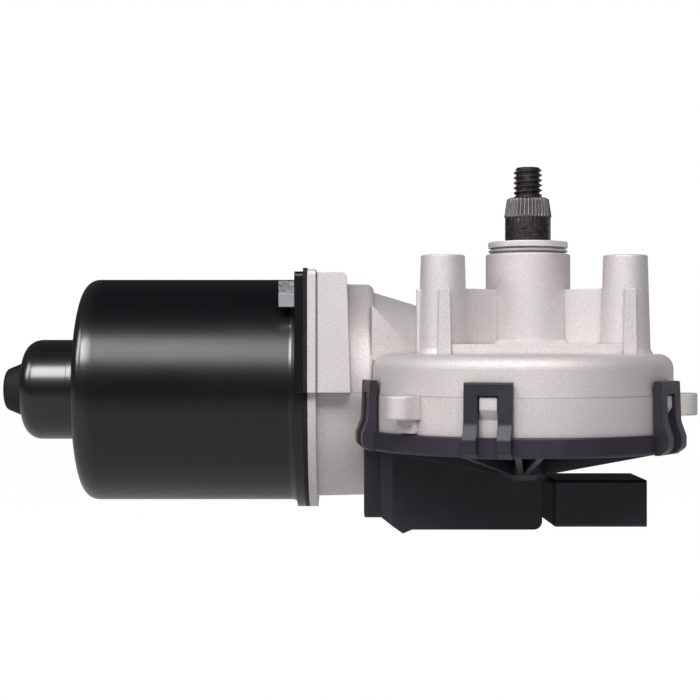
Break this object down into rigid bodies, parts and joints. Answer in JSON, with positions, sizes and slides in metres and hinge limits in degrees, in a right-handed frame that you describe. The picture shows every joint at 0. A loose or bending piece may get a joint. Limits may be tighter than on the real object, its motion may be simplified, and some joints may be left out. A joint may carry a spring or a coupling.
{
  "type": "windscreen wiper motor",
  "caption": "Permanent-magnet wiper motor with worm gear case, serrated output shaft, bossed mounting face and clipped control cover with connector socket.",
  "frame": {"origin": "output shaft axis, in the plane of the three mounting boss faces", "axes": "+Z out along the output shaft; motor and worm axis parallel to X, with the motor towards -X and the worm on the +Y side of the wheel"},
  "size_m": [0.202, 0.1193, 0.1022],
  "materials": {
    "cast_aluminium": "sand-grained die casting, satin",
    "can_paint": "gloss black enamel on drawn steel",
    "cover_plastic": "moulded black, fine texture",
    "nose_rubber": "matt black rubber",
    "seal_rubber": "black nitrile rubber",
    "black_oxide_steel": "black oxide, satin",
    "zinc_steel": "bright zinc plate",
    "plain_steel": "ground steel",
    "light_cap": "plain turned metal",
    "sintered_bronze": "oil-soaked sintered bronze",
    "wheel_nylon": "natural nylon",
    "copper": "bright copper",
    "brass": "pressed brass",
    "carbon": "matt carbon",
    "ferrite": "ground ferrite",
    "spring_steel": "spring steel",
    "core_steel": "stacked steel sheets",
    "card_fibre": "brown card",
    "board_green": "green circuit board",
    "relay_plastic": "dark moulded case",
    "thrust_nylon": "hard nylon"
  },
  "bodies": {
    "housing": {"gear_housing": "cast_aluminium", "yoke_can": "can_paint", "gear_cover": "cover_plastic", "nose_cap": "nose_rubber", "motor_gasket": "seal_rubber", "motor_screws": "zinc_steel", "shaft_cap": "light_cap", "hub_shim": "plain_steel", "upper_shaft_bush": "sintered_bronze", "lower_shaft_bush": "sintered_bronze", "shaft_seal": "seal_rubber", "rear_bearing": "sintered_bronze", "bearing_holder": "thrust_nylon", "middle_bush": "sintered_bronze", "front_bush": "sintered_bronze", "thrust_pad": "thrust_nylon", "thrust_screw": "zinc_steel", "magnet_upper": "ferrite", "magnet_lower": "ferrite", "magnet_clips": "spring_steel", "brush_card": "card_fibre", "brush_holders": "brass", "brushes": "carbon", "brush_springs": "spring_steel", "chokes": "copper", "thermal_cut_out": "relay_plastic", "suppression_capacitor": "relay_plastic", "cover_gasket": "seal_rubber", "circuit_board": "board_green", "board_screws": "zinc_steel", "relay_slow_speed": "relay_plastic", "relay_fast_speed": "relay_plastic", "connector_terminals": "brass", "park_contacts": "brass"},
    "output": {"output_shaft": "black_oxide_steel", "worm_wheel": "wheel_nylon", "drive_plate": "plain_steel", "park_ring": "copper", "thrust_washer": "thrust_nylon", "retaining_washer": "plain_steel", "retaining_ring": "spring_steel"},
    "armature": {"armature_shaft": "plain_steel", "armature_core": "core_steel", "armature_windings": "copper", "commutator": "copper"}
  },
  "joints": [
    {"name": "output_spin", "type": "hinge", "parent": "housing", "child": "output", "pos_m": [0, 0, 0], "axis": [0, 0, 1], "continuous": true},
    {"name": "armature_spin", "type": "hinge", "parent": "housing", "child": "armature", "pos_m": [0, 0.038, -0.0376], "axis": [1, 0, 0], "continuous": true}
  ],
  "couplings": [
    {"joint": "armature_spin", "follows": "output_spin", "ratio": 60}
  ]
}
